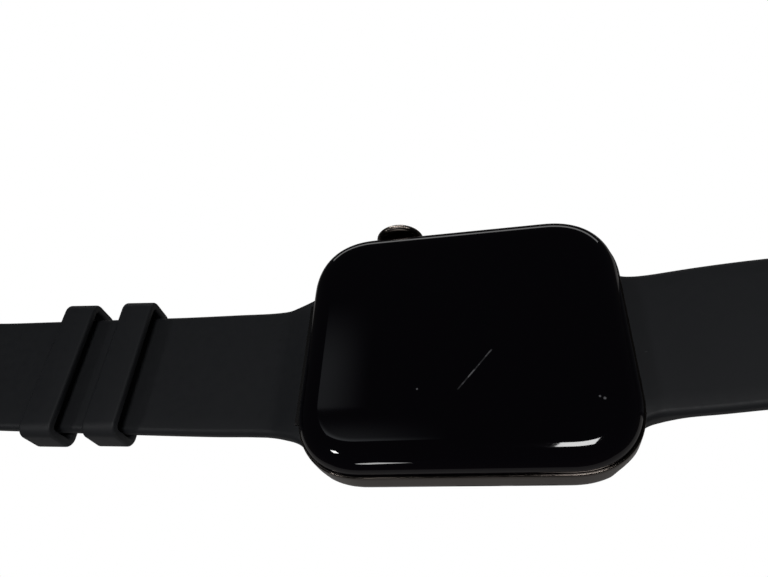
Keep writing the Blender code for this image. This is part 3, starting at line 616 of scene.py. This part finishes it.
LAP = 0.00015  # neighbouring pieces overlap by this much, so no seam shows
BAR_X, BAR_Z = 0.0875, 0.00665
EYE_FROM, EYE_BACK, EYE_NECK, EYE_RADIUS = 0.0840, 0.0030, 0.00122, 0.0020
EYE_BORE, EYE_ROUND = 0.00095, 0.0005
TONGUE_SLOT = (0.0825, 0.0950), 0.0018  # where it runs along the strap, and half its width
PITCH = 0.0008  # distance between a strap's rings
EDGE_ROUND, EDGE_SHARE = 0.00082, 0.75  # the edges' radius, at most this share of the half thickness
# a root's half thickness at the case, how far out its own rings go, and its gap to the case
ROOT_HALF, ROOT_REACH, ROOT_GAP = 0.0019, 0.0270, 0.00032
TAIL_ROUND, TAIL_STEPS = 0.0008, 36
# distance from the case centre, middle height, half thickness, half width
STRAP_12 = [
    (0.0218, 0.00215, 0.00172, 0.01330), (0.0225, 0.00214, 0.00172, 0.01315),
    (0.0243, 0.00192, 0.00158, 0.01195), (0.0269, 0.00145, 0.00130, 0.01112),
    (0.0286, 0.00124, 0.00113, 0.01077), (0.0310, 0.00126, 0.00110, 0.01060),
    (0.0375, 0.00165, 0.00110, 0.01052), (0.0465, 0.00237, 0.00110, 0.01033),
    (0.0505, 0.00277, 0.00110, 0.01025), (0.0600, 0.00377, 0.00110, 0.01006),
    (0.0695, 0.00476, 0.00110, 0.00986), (0.0735, 0.00518, 0.00110, 0.00978),
    (0.0800, 0.00587, 0.00112, 0.00965), (0.0850, 0.00639, 0.00125, 0.00965),
]
STRAP_6 = [
    (0.0218, 0.00296, 0.00170, 0.01200), (0.0231, 0.00305, 0.00168, 0.01115),
    (0.0247, 0.00330, 0.00160, 0.01075), (0.0262, 0.00368, 0.00135, 0.01066),
    (0.0275, 0.00400, 0.00117, 0.01064), (0.0310, 0.00460, 0.00110, 0.01065),
    (0.0370, 0.00550, 0.00110, 0.01053), (0.0430, 0.00605, 0.00110, 0.01041),
    (0.0520, 0.00608, 0.00110, 0.01022), (0.0610, 0.00548, 0.00110, 0.01004),
    (0.0705, 0.00400, 0.00110, 0.00984), (0.0800, 0.00222, 0.00110, 0.00965),
    (0.0897, 0.00135, 0.00110, 0.00965), (0.0994, 0.00120, 0.00110, 0.00965),
    (0.1189, 0.00120, 0.00110, 0.00965), (0.1420, 0.00120, 0.00110, 0.00965),
]
THIN_FROM, THIN_OVER, THIN_SHARE = 0.0095, 0.0045, 0.5  # how the flared corners of the root grow thinner


def thinned(y, h, half):
    """Height on a section once the top has come down towards the corners of a flared root."""
    share = min(max(abs(y) - THIN_FROM, 0) / THIN_OVER, 1)
    return (h + half) * (1 - THIN_SHARE * share * share) - half


def case_edge(y):
    """How far the case reaches along X at this Y."""
    over = max(abs(y) - (CASE_HALF[1] - CASE_CORNER), 0) / CASE_CORNER
    return CASE_HALF[0] - CASE_CORNER + CASE_CORNER * (1 - over**CORNER_POWER) ** (1 / CORNER_POWER)


def edge_radius(half_thick):
    return min(EDGE_ROUND, half_thick * EDGE_SHARE)


def section(half_width, half_thick):
    """A strap's cross-section as (y, height) points: round-edged, with its long sides divided."""
    return divided(rounded_box_outline(2 * half_width, 2 * half_thick, edge_radius(half_thick)), 10)


def strap_frame(table, x):
    """Middle point and upward normal of the strap at a distance x from the case centre."""
    step = 0.0002
    z = hermite(table, x)[0]
    slope = (hermite(table, x + step)[0] - hermite(table, x - step)[0]) / (2 * step)
    length = math.hypot(1, slope)
    return z, (-slope / length, 1 / length)


def strap_ring(table, x, width_scale=1.0, height_scale=1.0):
    z, (nx, nz) = strap_frame(table, x)
    _, half, half_width = hermite(table, x)
    ring = []
    for y, h in section(half_width, half):
        y, h = y * width_scale, thinned(y * width_scale, h * height_scale, half)
        ring.append(Vector((x + nx * h, y, z + nz * h)))
    return ring


def root_ring(table, share, reach):
    """A ring of the flared root: it follows the case's outline at share 0, and is straight, at reach, at share 1."""
    ring = []
    half_end = table[0][3]
    for y_unit, h_unit in section(half_end, ROOT_HALF):
        start = case_edge(min(abs(y_unit), half_end)) + ROOT_GAP
        x = start + (reach - start) * share
        z, (nx, nz) = strap_frame(table, x)
        _, half, half_width = hermite(table, x)
        y, h = fit_section(y_unit, h_unit, half_end, ROOT_HALF, half_width, half)
        h = thinned(y, h, half)
        ring.append(Vector((x + nx * h * share, y, z + (nz * share + 1 - share) * h)))
    return ring


def fit_section(y, h, from_half, from_thick, half, thick):
    """Moves a point of one cross-section to the same place on another, which keeps its own edge radius."""
    r0, r1 = edge_radius(from_thick), edge_radius(thick)
    y_flat, h_flat = from_half - r0, from_thick - r0
    y_side = max(abs(y) - y_flat, 0) * r1 / r0
    h_side = max(abs(h) - h_flat, 0) * r1 / r0
    y_out = min(abs(y), y_flat) * (half - r1) / y_flat + y_side
    h_out = min(abs(h), h_flat) * (thick - r1) / h_flat + h_side
    return math.copysign(y_out, y), math.copysign(h_out, h)


def spread(start, end):
    count = max(round((end - start) / PITCH), 1)
    return [start + (end - start) * i / count for i in range(count + 1)]


def hole_cutter(table, x):
    """A round-ended buckle hole with softened rims."""
    z, (nx, nz) = strap_frame(table, x)
    length, width = 0.0036, 0.0024
    # the height above the strap's middle, and how much the hole has grown there
    flare = ((0.0008, 0.0), (0.00098, 0.00010), (0.00112, 0.00026), (0.0020, 0.00045))
    rings = []
    for level, grow in [(-level, grow) for level, grow in reversed(flare)] + list(flare):
        ring = []
        for u, v in pill(length + 2 * grow, width + 2 * grow):
            ring.append(Vector((x + nz * u + nx * level, v, z - nx * u + nz * level)))
        rings.append(ring)
    return loft("hole", rings)


def turned_over(thing, side):
    """Turns a strap piece half round about Z for the twelve o'clock side."""
    if side < 0:
        thing.data.transform(Matrix.Rotation(math.pi, 4, "Z"))
    return thing


def strap_piece(name, table, side, start, end, holes=(), root=False, tail=False):
    """A stretch of strap, which starts at the case when it is a root and ends round when it is a tail."""
    rings = []
    if root:
        rings += [root_ring(table, s / 12, ROOT_REACH) for s in range(12)]
        start = ROOT_REACH
    else:
        start -= LAP
    half = hermite(table, end)[2] if tail else 0
    rings += [strap_ring(table, x) for x in spread(start, end - half)]
    for i in range(1, TAIL_STEPS + 1 if tail else 1):
        a = math.radians(90 * i / TAIL_STEPS)
        x = end - half + half * math.sin(a)
        past = max(x - (end - TAIL_ROUND), 0) / TAIL_ROUND
        tall = max(math.sqrt(max(1 - past * past, 0)), 0.15)
        rings.append(strap_ring(table, x, max(math.cos(a), 0.01), tall))
    piece = loft(name, rings, 50)
    cutters = [hole_cutter(table, x) for x in holes]
    if cutters:
        carve(piece, *cutters, sharp=50)
    return turned_over(piece, side)


def strap_eye(table):
    """The loop at the buckle end that holds the spring bar, with softened ends."""
    _, (nx, nz) = strap_frame(table, EYE_FROM)
    slope = math.atan2(-nx, nz)
    meet = math.degrees(math.asin(EYE_NECK / EYE_RADIUS))
    outline = []
    for i in range(33):
        a = math.radians(180 - meet - (360 - 2 * meet) * i / 32)
        outline.append((math.cos(a), math.sin(a), 1))
    outline += [(-EYE_BACK, -EYE_NECK, 0), (-EYE_BACK, EYE_NECK, 0)]
    half = hermite(table, EYE_FROM)[2]
    rings = []
    for sign in (-1, 1):
        for turn in (0, 30, 60, 90)[::-sign]:
            a = math.radians(turn)
            inset = EYE_ROUND * (1 - math.sin(a))
            ring = []
            for u, v, round_part in outline:
                reach = EYE_RADIUS - inset if round_part else 1
                u, v = u * reach, v * reach
                if not round_part:
                    v -= math.copysign(inset, v)
                ring.append(Vector((
                    BAR_X + u * math.cos(slope) - v * math.sin(slope),
                    sign * (half - EYE_ROUND * (1 - math.cos(a))),
                    BAR_Z + u * math.sin(slope) + v * math.cos(slope),
                )))
            rings.append(ring)
    return loft("loop", rings)


def twelve_strap_end(table):
    """The last piece of the short strap, with the loop for the spring bar and the slot for the tongue."""
    piece = strap_piece("band_12_piece_4", table, 1, 0.0600, 0.0850)
    carve(piece, strap_eye(table), operation="UNION", sharp=40)
    hole = prism("hole", circle(EYE_BORE, 40, (BAR_X, BAR_Z)), -0.02, 0.02, "Y")
    (near, far), half = TONGUE_SLOT
    slot = prism("slot", [(near, -half), (far, -half), (far, half), (near, half)], -0.005, 0.02)
    carve(piece, hole, slot, sharp=40)
    return turned_over(piece, -1)


def strap_blend(piece, side, hinge, before, after, body_a, body_b):
    """Bakes a strap piece's transform into its mesh."""
    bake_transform(piece)


def dress_strap(pieces, side, joints, spans, bodies, replaced):
    for i, piece in enumerate(pieces):
        dress(piece, "silicone", replaces=replaced[i])
        strap_blend(piece, side, joints[i], *spans[i], bodies[i], bodies[i + 1])


def twelve_strap():
    joints = [(0.0282, 0.00135), (0.0375, 0.00175), (0.0465, 0.00235), (0.0735, 0.00518)]
    bodies = ["band_12_lug"] + [f"band_12_link_{i}" for i in range(1, 5)]
    cuts = [0.0, 0.03285, 0.0420, 0.0600]
    pieces = [
        strap_piece("band_12_piece_1", STRAP_12, -1, 0, cuts[1], root=True),
        strap_piece("band_12_piece_2", STRAP_12, -1, cuts[1], cuts[2]),
        strap_piece("band_12_piece_3", STRAP_12, -1, cuts[2], cuts[3]),
        twelve_strap_end(STRAP_12),
    ]
    spans = [(0.0030, 0.0036), (0.0042, 0.0042), (0.0042, 0.0040), (0.0040, 0.0040)]
    replaced = [["strap_12_root", "strap_12_link_1"]] + [[f"strap_12_link_{i}"] for i in range(2, 5)]
    dress_strap(pieces, -1, joints, spans, bodies, replaced)


def six_strap():
    joints = [
        (0.0275, 0.0040), (0.0430, 0.0061), (0.0610, 0.0055),
        (0.0800, 0.0021), (0.0994, 0.0012), (0.1189, 0.0012),
    ]
    bodies = ["band_6_lug"] + [f"band_6_link_{i}" for i in range(1, 7)]
    cuts = [0.0, 0.03525, 0.0520, 0.0705, 0.08645, 0.1059, 0.1420]
    holes = [[], [], [], [0.0832], [0.0897, 0.0962, 0.10265], [0.10915, 0.11565]]
    pieces = []
    for i in range(6):
        pieces.append(strap_piece(
            f"band_6_piece_{i + 1}", STRAP_6, 1, cuts[i], cuts[i + 1], holes[i], root=i == 0, tail=i == 5,
        ))
    spans = [
        (0.0028, 0.0045), (0.0060, 0.0060), (0.0065, 0.0065),
        (0.0060, 0.0055), (0.0055, 0.0055), (0.0055, 0.0060),
    ]
    replaced = [["strap_6_root", "strap_6_link_1"]] + [[f"strap_6_link_{i}"] for i in range(2, 7)]
    dress_strap(pieces, 1, joints, spans, bodies, replaced)


twelve_strap()
six_strap()


KEEPER_WIDTH, KEEPER_WALL, KEEPER_ROUND = 0.0053, 0.0013, 0.00046
KEEPER_INNER, KEEPER_CORNER = (0.0210, 0.0047), 0.00062  # the opening, and its corners' radius
KEEPER_LINK = (0.0465, 0.00235), (0.0735, 0.00518)  # the straight stretch of strap that they slide on


def keeper(name, distance, lift):
    """A soft loop round the strap, with rounded rims."""
    start, end = KEEPER_LINK
    slope = math.atan2(end[1] - start[1], end[0] - start[0])
    height = start[1] + (end[1] - start[1]) * (distance - start[0]) / (end[0] - start[0]) + lift
    length, tall = KEEPER_INNER
    rings = []
    for u, across in rounded_box_outline(KEEPER_WIDTH, KEEPER_WALL, KEEPER_ROUND, 5):
        v = across + KEEPER_WALL / 2
        outline = rounded_box_outline(length + 2 * v, tall + 2 * v, KEEPER_CORNER + v, 10)
        rings.append([Vector((u, y, z)) for y, z in divided(outline, 8)])
    rings.append(rings[0])
    loop = loft(name, rings, 50, caps=False)
    turn = Matrix.Translation((-distance, 0, height)) @ Matrix.Rotation(slope, 4, "Y")
    loop.data.transform(turn)
    return loop


dress(keeper("keeper_loop_1", 0.0649, 0.0003), "silicone", "keeper_1", ["keeper_1"])
dress(keeper("keeper_loop_2", 0.0543, 0.00085), "silicone", "keeper_2", ["keeper_2"])

for name, node in frame["nodes"].items():
    slot = next(s["material_slot"] for s in frame["record"]["subparts"] if s["node"] == name)
    for material_slot in node.material_slots:
        material_slot.material = LOOKS[slot]


# the CAD parts that can be seen get their loose vertices joined and their edges softened
SOFTENED = (
    "buckle_frame", "buckle_tongue", "buckle_bar", "lug_12", "lug_6",
    "release_button_12", "release_button_6", "back_cover",
)
for name in SOFTENED:
    node = frame["nodes"][name]
    weld = node.modifiers.new("weld", "WELD")
    weld.merge_threshold = 2e-6
    edges = node.modifiers.new("soft_edges", "BEVEL")
    edges.width = 0.00009
    edges.segments = 2
    edges.limit_method = "ANGLE"
    edges.angle_limit = math.radians(35)


# ---- floor, light and camera ----


DARK_ROOM = 0.022  # the faint light from everywhere, which the panels must give back too
FLOOR_Z, FLOOR_SIZE = -0.075, 6.0
# name, size, z, radiance
FLOOR_CARDS = (("floor_card", 6.0, -0.0745, 0.02), ("near_card", 0.36, -0.0740, 0.14))
SOFTBOXES = (  # name, direction from the watch, distance, width, height, radiance
    ("top_light", (0.19, -0.23, 0.95), 0.60, 0.15, 0.15, 12),
    ("left_light", (-0.54, -0.45, 0.71), 0.60, 0.06, 0.07, 22),
    ("front_light", (-0.25, -0.93, 0.22), 0.60, 0.07, 0.05, 7),
    ("far_light", (0.0, 1.0, 0.12), 0.80, 1.20, 0.16, 1.0),
)
CROWN_SOFTBOXES = (  # the same, but these light the crown only
    ("crown_light", (-0.18, 0.64, 0.75), 0.60, 0.12, 0.10, 70),
    ("crown_fill", (-0.18, 0.30, 0.90), 0.60, 0.60, 0.60, 0.7),
    ("crown_low_fill", (-0.18, -0.80, 0.20), 0.60, 0.60, 0.30, 0.8),
)
GLOWS = (  # name, low and high corner in plan, height, radiance, and where each fade starts and ends
    ("left_glow", (-0.230, 0.120), (-0.130, 0.340), 0.50, 0.22, (0.25, 0.85), (0.55, 1.0)),
    ("corner_glow", (-0.230, 0.115), (-0.040, 0.200), 0.499, 0.60, (0.20, 0.90), (0.15, 0.90)),
)
CAMERA_PLACE, CAMERA_LENS, CAMERA_SENSOR = (0.007802, -0.040941, 0.080806), 28.08, 36
CAMERA_RIGHT, CAMERA_UP = (0.97437, 0.05330, -0.21856), (0.07895, 0.82872, 0.55406)


def stage_plane(name, size, z, material):
    half = size / 2
    rings = [[Vector((-half, y, z)), Vector((half, y, z))] for y in (-half, half)]
    points, faces = skin(rings, closed=False, caps=False)
    plane = mesh_object(name, points, faces)
    plane.data.materials.append(material)
    return plane


def glow(name, color, strength):
    material = bpy.data.materials.new(name)
    material.use_nodes = True
    nodes = material.node_tree.nodes
    nodes.remove(nodes["Principled BSDF"])
    emission = nodes.new("ShaderNodeEmission")
    emission.inputs["Color"].default_value = (*color, 1)
    emission.inputs["Strength"].default_value = strength
    material.node_tree.links.new(emission.outputs[0], nodes["Material Output"].inputs["Surface"])
    return material


def softbox(name, direction, distance, width, height, radiance, target=(0, 0, 0.008)):
    """An area light that faces the watch from a direction."""
    data = bpy.data.lights.new(name, "AREA")
    data.shape = "RECTANGLE"
    data.size, data.size_y = width, height
    data.energy = radiance * width * height * 4
    lamp = bpy.data.objects.new(name, data)
    bpy.context.scene.collection.objects.link(lamp)
    way = Vector(direction).normalized()
    across = Vector((0, 1, 0)).cross(way).normalized()
    turn = Matrix((across, way.cross(across), way)).transposed().to_4x4()
    lamp.matrix_world = Matrix.Translation(Vector(target) + way * distance) @ turn
    return lamp


def glow_panel(name, low, high, height, radiance, fade_right, fade_far):
    """A dim level panel over the watch, seen only in reflections.

    It is brightest at its near left corner. To the right and the far side it fades to the dark room's light.
    """
    corners = [(low[0], low[1]), (high[0], low[1]), (high[0], high[1]), (low[0], high[1])]
    panel = mesh_object(name, [(x, y, height) for x, y in corners], [(0, 1, 2, 3)])
    material = glow(name, (0.9, 0.95, 1.0), radiance)
    nodes, links = material.node_tree.nodes, material.node_tree.links
    coords = nodes.new("ShaderNodeTexCoord")
    parts = nodes.new("ShaderNodeSeparateXYZ")
    links.new(coords.outputs["Generated"], parts.inputs["Vector"])
    fades = []
    for axis, near, far in ((0, *fade_right), (1, *fade_far)):
        fade = nodes.new("ShaderNodeMapRange")
        fade.interpolation_type = "SMOOTHSTEP"
        fade.inputs["From Min"].default_value = near
        fade.inputs["From Max"].default_value = far
        fade.inputs["To Min"].default_value = 1.0
        fade.inputs["To Max"].default_value = 0.0
        links.new(parts.outputs[axis], fade.inputs["Value"])
        fades.append(fade.outputs["Result"])
    both = nodes.new("ShaderNodeMath")
    both.operation = "MULTIPLY"
    scaled = nodes.new("ShaderNodeMath")
    scaled.operation = "MULTIPLY"
    scaled.inputs[1].default_value = radiance
    raised = nodes.new("ShaderNodeMath")
    raised.inputs[1].default_value = DARK_ROOM
    links.new(fades[0], both.inputs[0])
    links.new(fades[1], both.inputs[1])
    links.new(both.outputs[0], scaled.inputs[0])
    emission = next(n for n in nodes if n.type == "EMISSION")
    links.new(scaled.outputs[0], raised.inputs[0])
    links.new(raised.outputs[0], emission.inputs["Strength"])
    panel.data.materials.append(material)
    panel.visible_camera = False
    panel.visible_shadow = False
    panel.visible_diffuse = False
    return panel


def studio():
    """A white floor and sky for the camera, and a dark room with softboxes and panels for all else."""
    stage_plane("floor", FLOOR_SIZE, FLOOR_Z, glow("pale_floor", (1, 1, 1), 1.0))
    for name, size, z, radiance in FLOOR_CARDS:
        card = stage_plane(name, size, z, glow(name, (1, 0.97, 0.95), radiance))
        card.visible_camera = False
        card.visible_shadow = False
    world = bpy.data.worlds.new("studio")
    bpy.context.scene.world = world
    world.use_nodes = True
    nodes, links = world.node_tree.nodes, world.node_tree.links
    back = nodes["Background"]
    white = nodes.new("ShaderNodeBackground")
    white.inputs["Color"].default_value = (1, 1, 1, 1)
    white.inputs["Strength"].default_value = 1.0
    back.inputs["Color"].default_value = (0.9, 0.95, 1.0, 1)
    back.inputs["Strength"].default_value = DARK_ROOM
    path = nodes.new("ShaderNodeLightPath")
    mix = nodes.new("ShaderNodeMixShader")
    links.new(path.outputs["Is Camera Ray"], mix.inputs["Fac"])
    links.new(back.outputs[0], mix.inputs[1])
    links.new(white.outputs[0], mix.inputs[2])
    links.new(mix.outputs[0], nodes["World Output"].inputs["Surface"])
    for box in SOFTBOXES:
        softbox(*box)
    only_crown = bpy.data.collections.new("lit_by_crown_lights")
    only_crown.objects.link(bpy.data.objects["crown_knob"])
    for box in CROWN_SOFTBOXES:
        softbox(*box).light_linking.receiver_collection = only_crown
    for panel in GLOWS:
        glow_panel(*panel)
    bpy.context.scene.view_settings.view_transform = "Standard"


def camera():
    data = bpy.data.cameras.new("camera")
    data.lens = CAMERA_LENS
    data.sensor_width = CAMERA_SENSOR
    data.clip_start = 0.005
    eye = bpy.data.objects.new("camera", data)
    bpy.context.scene.collection.objects.link(eye)
    right, up = Vector(CAMERA_RIGHT), Vector(CAMERA_UP)
    back = right.cross(up)
    turn = Matrix((right, up, back)).transposed().to_4x4()
    eye.matrix_world = Matrix.Translation(CAMERA_PLACE) @ turn
    bpy.context.scene.camera = eye


studio()
camera()
